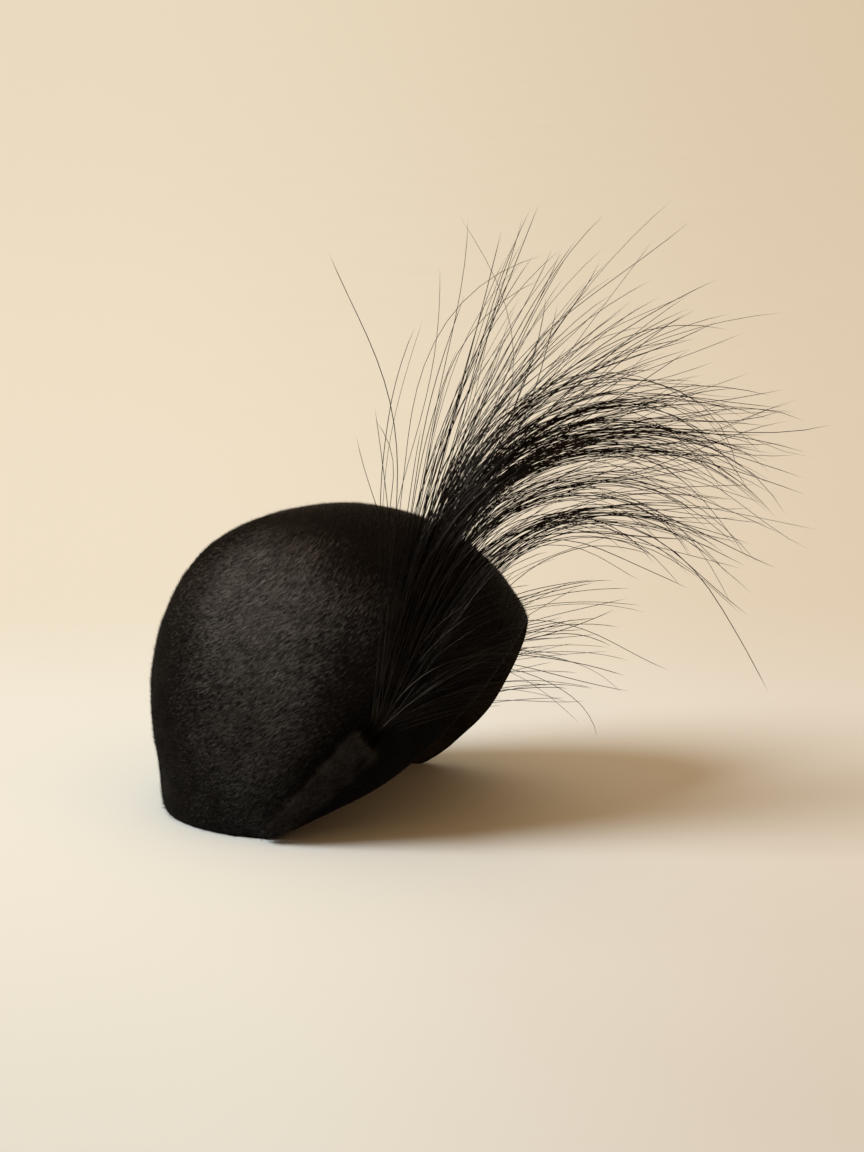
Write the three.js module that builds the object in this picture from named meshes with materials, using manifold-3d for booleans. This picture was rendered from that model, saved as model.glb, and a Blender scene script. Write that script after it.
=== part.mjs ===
// A black felt cocktail hat with a plume of long black hair, as it lies on a table.
// Millimetres, +Z up, X to the right along the hat, Y away from its plumed side, table at z = 0.
// The cap rests on the back of its edge, pitched up at the front and rolled a little backwards.
import * as THREE from "three";
import { mergeVertices } from "three/addons/utils/BufferGeometryUtils.js";
import Module from "manifold-3d";

// Blocked felt cap, in its own frame: length along x, width along y, dome up z
const HALF_LENGTH = 105.6;
const HALF_WIDTH = 81.8;
const DOME_HEIGHT = 114.3;
const OVAL_POWER = 2.142; // 2 is an ellipse, more is squarer
const CROWN_SHIFT = 8; // the middle of the dome stands this far forward
const DOME_SHEAR = -0.11; // and its top leans this far back for each millimetre of height
const FELT_WALL = 2.8;
const BACK_FLARE = 6.5; // the back of the edge stands out from the oval
const FLARE_FROM = 0.85; // share of the way from top to edge where that begins
const EDGE_CURL = 11; // the lower felt curls in under the plumed side
const CURL_FROM = 0.81;
const FAR_CURL_SHARE = 0.4; // and this much as far in under the far side
const EDGE_TRIM = 3; // felt below the table line, cut off flat where the cap rests
const TRIM_GROWS_DEG = [55, 73]; // the angles where that felt begins
const TRIM_ENDS_DEG = [232, 250]; // and ends

// How the cap lies: rolled, pitched and turned, with the middle of its base at this place
const ROLL_DEG = -9;
const PITCH_DEG = 23.2;
const TURN_DEG = 9.9;
const BASE_CENTRE = new THREE.Vector3(105, 92.2, 48.7);

// The cut edge: its height over the base plane, around the cap from the raised front point
const EDGE_STATIONS = [
  { aroundDeg: 0, height: 3.3 },
  { aroundDeg: 15, height: -7.3 },
  { aroundDeg: 30, height: -22.5 },
  { aroundDeg: 45, height: -39.9 },
  { aroundDeg: 60, height: -49.5 },
  { aroundDeg: 75, height: -51.1 },
  { aroundDeg: 90, height: -41.9 },
  { aroundDeg: 105, height: -29.8 },
  { aroundDeg: 120, height: -18.9 },
  { aroundDeg: 135, height: -10.2 },
  { aroundDeg: 150, height: -4.7 },
  { aroundDeg: 165, height: -3.2 },
  { aroundDeg: 180, height: -5 },
  { aroundDeg: 195, height: -9.9 },
  { aroundDeg: 210, height: -17.2 },
  { aroundDeg: 225, height: -26.8 },
  { aroundDeg: 240, height: -32.6 },
  { aroundDeg: 255, height: -32.6 },
  { aroundDeg: 270, height: -30.4 },
  { aroundDeg: 285, height: -23.6 },
  { aroundDeg: 300, height: -13.9 },
  { aroundDeg: 315, height: -4.6 },
  { aroundDeg: 330, height: 3.3 },
  { aroundDeg: 345, height: 6.8 },
];
const AROUND_STEPS = 72;
const ALONG_STEPS = 17;

// The rolled sleeve of the same felt, laid up the plumed side from the edge to its open mouth
const SLEEVE_START = { aroundDeg: 232, along: 0.98 };
const SLEEVE_MOUTH = { aroundDeg: 268.5, along: 0.865 };
const SLEEVE_START_RADIUS = 2.2;
const SLEEVE_MOUTH_RADIUS = 7.2;
const SLEEVE_TAPER = 0.8; // under 1 it widens faster near the edge
const SLEEVE_WALL = 1.6;
const SLEEVE_BORE_FROM = 0.62; // share of its length where the hollow for the plume begins
const SLEEVE_STEPS = 16;
const SLEEVE_SIDES = 14;
const GROOVE_DEPTH = 4.2; // the cap is pressed in under the sleeve
const GROOVE_AT_EDGE = 0.12; // share of its depth at the cut edge
const GROOVE_FULL_FROM = 0.8; // and the share of its length where it reaches its full depth
const GROOVE_WIDTH = 13;
const SLEEVE_CLEARANCE = 0.9;

// The plume: locks fanned out from one root, from the most upright to the lowest. Each leaves at
// leaveDeg over the horizontal, bends down by bendDeg around the share turnAt of its length, over
// the share turnOver to either side of it, and leans leanDeg away from the viewer.
const FAN_STATIONS = [
  { leaveDeg: 82, bendDeg: 34, turnAt: 0.7, turnOver: 0.35, length: 256, leanDeg: 2 },
  { leaveDeg: 80, bendDeg: 22, turnAt: 0.6, turnOver: 0.4, length: 276, leanDeg: 3 },
  { leaveDeg: 77, bendDeg: 37, turnAt: 0.66, turnOver: 0.5, length: 290, leanDeg: 4 },
  { leaveDeg: 75, bendDeg: 58, turnAt: 0.65, turnOver: 0.42, length: 288, leanDeg: 6 },
  { leaveDeg: 75, bendDeg: 54, turnAt: 0.55, turnOver: 0.35, length: 304, leanDeg: 7 },
  { leaveDeg: 74, bendDeg: 68, turnAt: 0.53, turnOver: 0.3, length: 310, leanDeg: 8 },
  { leaveDeg: 71, bendDeg: 61, turnAt: 0.48, turnOver: 0.2, length: 326, leanDeg: 8 },
  { leaveDeg: 70, bendDeg: 86, turnAt: 0.54, turnOver: 0.42, length: 306, leanDeg: 8 },
  { leaveDeg: 72, bendDeg: 92, turnAt: 0.49, turnOver: 0.41, length: 262, leanDeg: 7 },
  { leaveDeg: 66, bendDeg: 94, turnAt: 0.55, turnOver: 0.42, length: 205, leanDeg: 6 },
  { leaveDeg: 60, bendDeg: 78, turnAt: 0.5, turnOver: 0.5, length: 155, leanDeg: 4 },
  { leaveDeg: 38, bendDeg: 38, turnAt: 0.43, turnOver: 0.5, length: 116, leanDeg: 2 },
];
const LOCK_COUNT = 24;
const LOCK_LEANS_DEG = [0, 8, -7, 4, -11, 10, -3]; // added to leanDeg, lock after lock
const LEAN_GROWS_OVER = 120; // length over which a lock reaches its full lean
const LOCK_ROOT_RADIUS = 0.8;
const LOCK_BODY_RADIUS = 1.05;
const LOCK_TIP_RADIUS = 0.3;
const LOCK_SIDES = 5;
const LOCK_STEPS = 12;
const LOCK_FAN_OUT = 18; // length over which a lock leaves the direction of the sleeve
const ROOT_SPREAD = 2.4; // the roots stand this far apart in all, across the sleeve
const ROOT_DEPTH_PER_DEG = 0.2; // and this far back for each degree of added lean
const ROOT_IN_SLEEVE = 15;
const ROOT_BUNDLE_RADIUS = 4.4;
const ROOT_BUNDLE_PAST_MOUTH = 7;

const radians = THREE.MathUtils.degToRad;
const mix = THREE.MathUtils.lerp;
const smooth = THREE.MathUtils.smoothstep;

const wasm = await Module();
wasm.setup();

const posture = new THREE.Matrix4()
  .makeRotationFromEuler(
    new THREE.Euler(radians(ROLL_DEG), -radians(PITCH_DEG), radians(TURN_DEG), "ZYX"),
  )
  .setPosition(BASE_CENTRE);

// Joins rings of equal size into one closed body that begins and ends in a point.
function loft(firstPoint, rings, lastPoint) {
  const sides = rings[0].length;
  const points = [firstPoint, ...rings.flat(), lastPoint];
  const last = points.length - 1;
  const at = (ring, side) => 1 + ring * sides + (side % sides);
  const faces = [];
  for (let side = 0; side < sides; side++) {
    faces.push(0, at(0, side), at(0, side + 1));
    for (let ring = 0; ring < rings.length - 1; ring++) {
      faces.push(at(ring, side), at(ring + 1, side), at(ring + 1, side + 1));
      faces.push(at(ring, side), at(ring + 1, side + 1), at(ring, side + 1));
    }
    faces.push(at(rings.length - 1, side), last, at(rings.length - 1, side + 1));
  }
  const geometry = new THREE.BufferGeometry().setFromPoints(points);
  geometry.setIndex(faces);
  return geometry;
}

function toSolid(geometry) {
  const bare = geometry.clone();
  bare.deleteAttribute("normal");
  bare.deleteAttribute("uv");
  const merged = mergeVertices(bare, 1e-4);
  return new wasm.Manifold(
    new wasm.Mesh({
      numProp: 3,
      vertProperties: new Float32Array(merged.attributes.position.array),
      triVerts: new Uint32Array(merged.index.array),
    }),
  );
}

function toGeometry(solid) {
  const mesh = solid.getMesh();
  const geometry = new THREE.BufferGeometry();
  geometry.setAttribute("position", new THREE.BufferAttribute(mesh.vertProperties, 3));
  geometry.setIndex(new THREE.BufferAttribute(mesh.triVerts, 1));
  geometry.computeVertexNormals();
  return geometry;
}

function namedMesh(name, geometry, color, roughness) {
  const material = new THREE.MeshStandardMaterial({ color, roughness, metalness: 0 });
  const mesh = new THREE.Mesh(geometry, material);
  mesh.name = name;
  return mesh;
}

// The height of the cut edge at any angle, a smooth curve through the stations.
function edgeHeight(aroundDeg) {
  const count = EDGE_STATIONS.length;
  const place = ((aroundDeg / 360) * count + count) % count;
  const first = Math.floor(place);
  const share = place - first;
  const [before, from, to, after] = [-1, 0, 1, 2].map(
    (step) => EDGE_STATIONS[(first + step + count) % count].height,
  );
  const leaving = (to - before) / 2;
  const arriving = (after - from) / 2;
  const rest = 1 - share;
  return (
    from * (1 + 2 * share) * rest * rest +
    leaving * share * rest * rest +
    to * share * share * (3 - 2 * share) -
    arriving * share * share * rest
  );
}

// The outside of the felt before it is pressed in, lying as it rests. along is 0 at the top
// of the dome and 1 at the cut edge.
function blockedPoint(aroundDeg, along) {
  const turn = radians(aroundDeg);
  const edgeTilt = Math.acos((edgeHeight(aroundDeg) - trimAt(aroundDeg)) / DOME_HEIGHT);
  const tilt = edgeTilt * along;
  const height = DOME_HEIGHT * Math.cos(tilt);
  const [across, side] = [Math.cos(turn), Math.sin(turn)];
  const oval = (Math.abs(across) ** OVAL_POWER + Math.abs(side) ** OVAL_POWER) ** (-1 / OVAL_POWER);
  const flare = BACK_FLARE * Math.max(0, -across) ** 2 * smooth(along, FLARE_FROM, 1);
  const curl = EDGE_CURL * side * (side < 0 ? 1 : FAR_CURL_SHARE) * smooth(along, CURL_FROM, 1);
  const reach = Math.sin(tilt) * oval;
  return new THREE.Vector3(
    HALF_LENGTH * reach * across + CROWN_SHIFT * Math.sin(2 * tilt) + DOME_SHEAR * height - flare,
    HALF_WIDTH * reach * side - curl,
    height,
  ).applyMatrix4(posture);
}

// The back of the edge, which rests on the table, is left long and then cut flat.
function trimAt(aroundDeg) {
  return EDGE_TRIM * smooth(aroundDeg, ...TRIM_GROWS_DEG) * (1 - smooth(aroundDeg, ...TRIM_ENDS_DEG));
}

function blockedNormal(aroundDeg, along) {
  const step = 0.4;
  const reach = 0.006;
  const near = Math.max(along, 0.02);
  const round = blockedPoint(aroundDeg + step, near).sub(blockedPoint(aroundDeg - step, near));
  const down = blockedPoint(aroundDeg, near + reach).sub(blockedPoint(aroundDeg, near - reach));
  return down.cross(round).normalize();
}

// Places along the line on the cap that the sleeve covers, from the edge to the mouth.
const sleeveLine = Array.from({ length: SLEEVE_STEPS + 1 }, (unused, step) => {
  const share = step / SLEEVE_STEPS;
  const aroundDeg = mix(SLEEVE_START.aroundDeg, SLEEVE_MOUTH.aroundDeg, share);
  const along = mix(SLEEVE_START.along, SLEEVE_MOUTH.along, share);
  return {
    point: blockedPoint(aroundDeg, along),
    normal: blockedNormal(aroundDeg, along),
    groove: GROOVE_DEPTH * mix(GROOVE_AT_EDGE, 1, smooth(share, 0, GROOVE_FULL_FROM)),
    radius: mix(SLEEVE_START_RADIUS, SLEEVE_MOUTH_RADIUS, share ** SLEEVE_TAPER),
  };
});

// How deep the cap is pressed in at a point of its outside.
function grooveAt(point) {
  const depths = sleeveLine.map((place) => {
    const far = point.distanceTo(place.point) / GROOVE_WIDTH;
    return place.groove * Math.exp(-far * far);
  });
  return Math.max(...depths);
}

function feltPoint(aroundDeg, along, inward) {
  const point = blockedPoint(aroundDeg, along);
  const depth = grooveAt(point) + inward;
  return point.addScaledVector(blockedNormal(aroundDeg, along), -depth);
}

function feltRing(along, inward) {
  return Array.from({ length: AROUND_STEPS }, (unused, step) =>
    feltPoint((360 * step) / AROUND_STEPS, along, inward),
  );
}

function makeCrown() {
  const outside = [];
  const inside = [];
  for (let step = 1; step <= ALONG_STEPS; step++) {
    outside.push(feltRing(step / ALONG_STEPS, 0));
    inside.unshift(feltRing(step / ALONG_STEPS, FELT_WALL));
  }
  const shell = loft(feltPoint(0, 0, 0), [...outside, ...inside], feltPoint(0, 0, FELT_WALL));
  const table = new THREE.BoxGeometry(600, 600, 60);
  table.translate(BASE_CENTRE.x, BASE_CENTRE.y, -30);
  return toGeometry(toSolid(shell).subtract(toSolid(table)));
}

// The middle line of the sleeve, standing on the pressed felt.
const sleeveAxis = new THREE.CatmullRomCurve3(
  sleeveLine.map((place) => {
    const lift = place.radius - place.groove + SLEEVE_CLEARANCE;
    return place.point.clone().addScaledVector(place.normal, lift);
  }),
);

// A ring of points around a place on a curve, square to the curve.
function ringAround(centre, along, outward, radius, sides) {
  const sideways = new THREE.Vector3().crossVectors(along, outward).normalize();
  const upright = new THREE.Vector3().crossVectors(sideways, along).normalize();
  return Array.from({ length: sides }, (unused, step) => {
    const turn = (2 * Math.PI * step) / sides;
    return centre
      .clone()
      .addScaledVector(upright, radius * Math.cos(turn))
      .addScaledVector(sideways, -radius * Math.sin(turn));
  });
}

function makeSleeve() {
  const ringAt = (share, inset) => {
    const place = sleeveLine[Math.round(share * SLEEVE_STEPS)];
    const tangent = sleeveAxis.getTangent(share);
    const radius = place.radius - inset;
    return ringAround(sleeveAxis.getPoint(share), tangent, place.normal, radius, SLEEVE_SIDES);
  };
  const rings = [ringAt(0, SLEEVE_START_RADIUS * 0.35)];
  for (let step = 1; step <= SLEEVE_STEPS; step++) rings.push(ringAt(step / SLEEVE_STEPS, 0));
  const boreFrom = Math.round(SLEEVE_BORE_FROM * SLEEVE_STEPS);
  for (let step = SLEEVE_STEPS; step >= boreFrom; step--) {
    rings.push(ringAt(step / SLEEVE_STEPS, SLEEVE_WALL));
  }
  const tip = sleeveAxis.getPoint(0).addScaledVector(sleeveAxis.getTangent(0), -1);
  return loft(tip, rings, sleeveAxis.getPoint(boreFrom / SLEEVE_STEPS));
}

const mouth = sleeveAxis.getPoint(1);
const mouthDirection = sleeveAxis.getTangent(1);

// The values of the fan at a share of the way from its most upright lock to its lowest.
function fanAt(share) {
  const place = share * (FAN_STATIONS.length - 1);
  const first = Math.min(Math.floor(place), FAN_STATIONS.length - 2);
  const [from, to] = [FAN_STATIONS[first], FAN_STATIONS[first + 1]];
  return Object.fromEntries(
    Object.keys(from).map((name) => [name, mix(from[name], to[name], place - first)]),
  );
}

// A direction at an angle over the horizontal, leaning away from the viewer.
function direction(upDeg, leanDeg) {
  const [up, lean] = [radians(upDeg), radians(leanDeg)];
  return new THREE.Vector3(Math.cos(up) * Math.cos(lean), Math.sin(lean), Math.sin(up) * Math.cos(lean));
}

// The points that a lock follows from inside the sleeve to its tip.
function lockPath(lock, offset) {
  const start = mouth.clone().addScaledVector(mouthDirection, -ROOT_IN_SLEEVE).add(offset);
  const points = [start];
  const whole = lock.length + ROOT_IN_SLEEVE;
  const step = whole / LOCK_STEPS;
  const turnFrom = lock.turnAt - lock.turnOver;
  const turnTo = lock.turnAt + lock.turnOver;
  for (let index = 0; index < LOCK_STEPS; index++) {
    const past = (index + 0.5) * step - ROOT_IN_SLEEVE;
    const bent = lock.bendDeg * smooth(past / lock.length, turnFrom, turnTo);
    const lean = lock.leanDeg * smooth(past, 0, LEAN_GROWS_OVER);
    const free = direction(lock.leaveDeg - bent, lean);
    const heading = mouthDirection.clone().lerp(free, smooth(past, -1, LOCK_FAN_OUT)).normalize();
    points.push(points[index].clone().addScaledVector(heading, step));
  }
  return points;
}

function lockRadius(share) {
  const body = mix(LOCK_ROOT_RADIUS, LOCK_BODY_RADIUS, smooth(share, 0, 0.3));
  return mix(body, LOCK_TIP_RADIUS, smooth(share, 0.3, 1));
}

function makeLock(points) {
  const last = points.length - 1;
  const away = new THREE.Vector3(0, 1, 0);
  const rings = points.slice(0, last).map((point, index) => {
    const along = points[index + 1].clone().sub(points[Math.max(index - 1, 0)]);
    return ringAround(point, along, away, lockRadius(index / last), LOCK_SIDES);
  });
  const butt = points[0].clone().addScaledVector(mouthDirection, -0.5);
  return loft(butt, rings, points[last]);
}

// The hair tied together in the sleeve, which the locks leave.
function makeRootBundle() {
  const shares = [0, 0.08, 0.7, 0.9, 1];
  const widths = [0.8, 1, 1, 0.8, 0.45];
  const length = ROOT_IN_SLEEVE + ROOT_BUNDLE_PAST_MOUTH;
  const away = new THREE.Vector3(0, 1, 0);
  const place = (share) =>
    mouth.clone().addScaledVector(mouthDirection, share * length - ROOT_IN_SLEEVE);
  const rings = shares.map((share, index) =>
    ringAround(place(share), mouthDirection, away, ROOT_BUNDLE_RADIUS * widths[index], 14),
  );
  return loft(place(-0.02), rings, place(1.05));
}

function makePlume() {
  let plume = toSolid(makeRootBundle());
  for (let index = 0; index < LOCK_COUNT; index++) {
    const share = index / (LOCK_COUNT - 1);
    const lock = fanAt(share);
    const lean = LOCK_LEANS_DEG[index % LOCK_LEANS_DEG.length];
    lock.leanDeg += lean;
    const sideways = direction(lock.leaveDeg + 90, 0).multiplyScalar(ROOT_SPREAD * (0.5 - share));
    const offset = sideways.add(new THREE.Vector3(0, lean * ROOT_DEPTH_PER_DEG, 0));
    plume = plume.add(toSolid(makeLock(lockPath(lock, offset))));
  }
  // Crossing locks can close off a small gap, which is left out
  const filled = plume.decompose().reduce((one, other) => (one.volume() > other.volume() ? one : other));
  return toGeometry(filled);
}

const hat = new THREE.Group();
hat.add(namedMesh("crown", makeCrown(), 0x0b0a09, 0.95));
hat.add(namedMesh("felt_sleeve", makeSleeve(), 0x0d0b0a, 0.95));
hat.add(namedMesh("plume", makePlume(), 0x070605, 0.45));

// The origin is on the table, under the middle of the whole hat
const middle = new THREE.Box3().setFromObject(hat).getCenter(new THREE.Vector3());
hat.position.set(-middle.x, -middle.y, 0);

export default hat;
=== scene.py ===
"""A black napped felt cocktail hat with a plume of long hair, lying on a pale studio floor.

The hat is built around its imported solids. The crown and the sleeve are softened copies of theirs,
covered with brushed nap, and the plume is drawn hair by hair along the fan of the solid one.
"""

import math

import bpy
import numpy as np
from mathutils import Matrix, Vector
from mathutils.bvhtree import BVHTree


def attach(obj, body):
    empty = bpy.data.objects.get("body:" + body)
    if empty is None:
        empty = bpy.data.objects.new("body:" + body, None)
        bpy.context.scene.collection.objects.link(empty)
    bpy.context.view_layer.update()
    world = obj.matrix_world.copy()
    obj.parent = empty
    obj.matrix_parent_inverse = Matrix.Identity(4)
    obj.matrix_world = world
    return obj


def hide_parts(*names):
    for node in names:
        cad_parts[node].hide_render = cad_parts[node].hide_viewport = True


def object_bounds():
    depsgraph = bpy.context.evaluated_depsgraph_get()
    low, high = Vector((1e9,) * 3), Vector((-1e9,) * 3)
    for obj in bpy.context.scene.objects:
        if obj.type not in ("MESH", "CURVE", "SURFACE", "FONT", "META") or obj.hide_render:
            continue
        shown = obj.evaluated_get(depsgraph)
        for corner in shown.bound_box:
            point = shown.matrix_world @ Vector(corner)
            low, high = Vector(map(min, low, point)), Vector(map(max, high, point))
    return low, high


bl_info = {
    "name": "Felt cocktail hat",
    "version": (1, 0, 0),
    "blender": (4, 5, 0),
    "location": "3D View > Sidebar > Hat",
    "description": "Builds a brushed felt cap with a plume of hair, and a studio to show it in",
    "category": "Add Mesh",
}

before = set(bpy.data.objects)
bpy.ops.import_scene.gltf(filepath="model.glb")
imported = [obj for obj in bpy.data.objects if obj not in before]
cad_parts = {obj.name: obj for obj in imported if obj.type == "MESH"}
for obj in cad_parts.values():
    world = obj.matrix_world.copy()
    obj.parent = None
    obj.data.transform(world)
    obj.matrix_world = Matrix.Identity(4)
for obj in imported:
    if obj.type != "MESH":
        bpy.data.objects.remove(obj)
CAD_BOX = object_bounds()
MM = 0.001

# How the cap lies: the middle of its base, and the turn from the cap's own axes to the frame's
CAP_CENTRE = Vector((-65.56, 14.93, 48.7)) * MM
CAP_TURN = (
    Matrix.Rotation(math.radians(9.9), 3, "Z")
    @ Matrix.Rotation(math.radians(-23.2), 3, "Y")
    @ Matrix.Rotation(math.radians(-9.0), 3, "X")
)
CAP_AXIS = CAP_TURN @ Vector((0, 0, 1))

# How thick the nap stands outside the cap, on its cut edge and inside, and the length that it has
# anywhere but outside, as a share of its length there
OUTSIDE_NAP, EDGE_NAP, INSIDE_NAP = 1.0, 0.6, 0.14
SHORT_NAP = 0.45

# The mouth of the sleeve, where the plume comes out, and the way it points. The hairs are rooted
# that far inside it, in a round bundle of that radius.
MOUTH = np.array((-57.3, -67.7, 55.9)) * MM
MOUTH_WAY = np.array((0.6603, -0.0115, 0.7509))
ROOT_INSIDE = 15 * MM
ROOT_SPREAD = 4.4 * MM

# The steps that a long hair is drawn in, and shares of its length with its thickness there
HAIR_STEPS = 24
HAIR_TAPER = ((0, 0.1, 0.8, 1), (0.75, 1, 1, 0.7))

# The warm fill: which way each broad glow lies from the hat, and the colour that it adds
FILLS = (
    ((0, 0, 1), (0.66, 0.34, 0.13)),
    ((-0.49, 0.85, 0.21), (0.44, 0.275, 0.195)),
    ((-0.35, 0.61, 0.71), (0.20, 0.24, 0.20)),
    ((0.35, -0.61, 0.71), (0.40, 0.20, 0.095)),
)

# The fan of the plume, lock by lock from the most upright to the lowest, each a number of wisps of
# hairs. A wisp leaves at leave degrees over the horizontal and bends down by bend degrees around
# the share at of its length, over the share over to either side. long is its length in
# millimetres, and lean how many degrees it leans away from the camera. The columns that end in _by
# say how much the wisps of a lock differ, and tight how closely a wisp's hairs keep together.
LOCK_COLUMNS = (
    "hairs", "leave", "bend", "at", "over", "long", "lean", "leave_by", "bend_by", "tip_by",
    "tight",
)
LOCKS = (
    (3, 84, 72, 0.80, 0.27, 284, 1, 0.9, 6, 12, 0),
    (17, 77.5, 16, 0.74, 0.35, 278, 2, 2.4, 8, 12, 0.3),
    (15, 76, 8, 0.62, 0.30, 290, 4, 2.4, 8, 12, 0.3),
    (9, 69.5, -12, 0.84, 0.20, 280, 6, 2.4, 10, 12, 0.2),
    (15, 79, 22, 0.34, 0.30, 292, 5, 2.4, 9, 12, 0.3),
    (9, 77, 39, 0.64, 0.50, 268, 3, 2.4, 12, 12, 0.1),
    (14, 73.5, 34, 0.49, 0.24, 287, 6, 2.4, 9, 12, 0.4),
    (12, 77, 38, 0.42, 0.27, 277, 4, 2.2, 11, 12, 0.2),
    (16, 77.5, 46, 0.38, 0.26, 300, 8, 2.6, 10, 12, 0.2),
    (20, 72.3, 60, 0.54, 0.22, 309, 7, 1.8, 8, 12, 0.5),
    (22, 71.6, 83, 0.58, 0.35, 325, 5, 2, 10, 12, 0.5),
    (12, 71.5, 132, 0.68, 0.42, 312, 6, 1, 7, 10, 0.4),
    (110, 71.6, 88, 0.55, 0.33, 318, 7, 0.5, 3, 20, 0.97),
    (36, 73.2, 76, 0.48, 0.29, 318, 4, 0.9, 4, 24, 0.7),
    (30, 70.6, 104, 0.60, 0.38, 300, 9, 1.2, 6, 18, 0.6),
    (36, 71.5, 96, 0.58, 0.39, 270, 5, 2.4, 9, 12, 0.3),
    (34, 67.5, 104, 0.61, 0.37, 262, 7, 2.6, 11, 12, 0.3),
    (24, 64, 68, 0.48, 0.24, 276, 8, 2.2, 8, 12, 0.5),
    (16, 59.5, 66, 0.56, 0.28, 242, 4, 1.6, 7, 12, 0.6),
    (14, 59.5, 85, 0.59, 0.37, 255, 6, 1.6, 9, 12, 0.5),
    (4, 55.5, 104, 0.55, 0.31, 284, 8, 2, 8, 12, 0.2),
    (5, 57, 98, 0.59, 0.20, 227, 3, 2.4, 11, 12, 0.1),
    (5, 56, 98, 0.57, 0.27, 280, 9, 2.4, 9, 12, 0.2),
    (7, 59.8, 81, 0.50, 0.31, 294, 5, 2.2, 8, 12, 0.2),
    (12, 66, 76, 0.45, 0.42, 196, 4, 3.4, 10, 12, 0.2),
    (12, 70, 66, 0.40, 0.50, 170, 2, 3.6, 12, 12, 0.1),
    (12, 61, 50, 0.35, 0.30, 152, 5, 4, 12, 12, 0.1),
    (12, 52, 50, 0.42, 0.34, 156, 3, 4.5, 12, 12, 0.1),
    (12, 40, 34, 0.50, 0.40, 148, 4, 5, 12, 12, 0),
    (10, 30, 22, 0.50, 0.40, 128, 2, 6, 12, 12, 0),
    (44, 62, 30, 0.50, 0.40, 62, 4, 12, 18, 12, 0),
)

# Single hairs that go their own way, in columns of the same meaning
STRAY_COLUMNS = ("leave", "bend", "at", "over", "long", "lean")
STRAYS = (
    (84, -36, 0.67, 0.25, 254, 4),
    (68, -63, 0.77, 0.24, 285, 6),
    (85, -18, 0.52, 0.21, 163, 2),
    (83, -24, 0.70, 0.40, 172, 3),
    (85, -59, 0.90, 0.14, 167, 5),
    (76, 10, 0.75, 0.30, 306, 3),
    (80, 26, 0.34, 0.30, 316, 6),
    (78, 60, 0.50, 0.30, 330, 8),
    (71, 130, 0.68, 0.40, 318, 8),
    (66, 112, 0.62, 0.30, 300, 5),
    (56, 112, 0.54, 0.30, 306, 9),
    (36, 34, 0.50, 0.40, 118, 2),
)


def smooth(value, low, high):
    """Goes from 0 at low to 1 at high, gently at both ends."""
    share = np.clip((value - low) / (high - low), 0, 1)
    return share * share * (3 - 2 * share)


def unit(vectors):
    """The vectors, one a row, each made one long."""
    return vectors / np.linalg.norm(vectors, axis=-1, keepdims=True)


def ripple(points, wavelength, seed):
    """A soft random height at each point, about -1 to 1, with waves of about that length."""
    random = np.random.default_rng(seed)
    height = np.zeros(len(points))
    waves = 9
    for way in unit(random.normal(size=(waves, 3))):
        pace = 2 * math.pi / wavelength * random.uniform(0.7, 1.4)
        height += np.sin(points @ way * pace + random.uniform(0, 2 * math.pi))
    return height / math.sqrt(waves / 2) * 0.6


class Number:
    """A number that varies over a surface. Arithmetic on it adds Math nodes."""

    def __init__(self, surface, socket):
        self.surface = surface
        self.socket = socket

    def _math(self, operation, first, second):
        node = self.surface.node("ShaderNodeMath", {"operation": operation}, {0: first, 1: second})
        return Number(self.surface, node.outputs[0])

    def __add__(self, other):
        return self._math("ADD", self, other)

    def __radd__(self, other):
        return self._math("ADD", other, self)

    def __sub__(self, other):
        return self._math("SUBTRACT", self, other)

    def __rsub__(self, other):
        return self._math("SUBTRACT", other, self)

    def __mul__(self, other):
        return self._math("MULTIPLY", self, other)

    def __rmul__(self, other):
        return self._math("MULTIPLY", other, self)

    def __truediv__(self, other):
        return self._math("DIVIDE", self, other)

    def __rtruediv__(self, other):
        return self._math("DIVIDE", other, self)

    def __pow__(self, other):
        return self._math("POWER", self, other)


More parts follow.
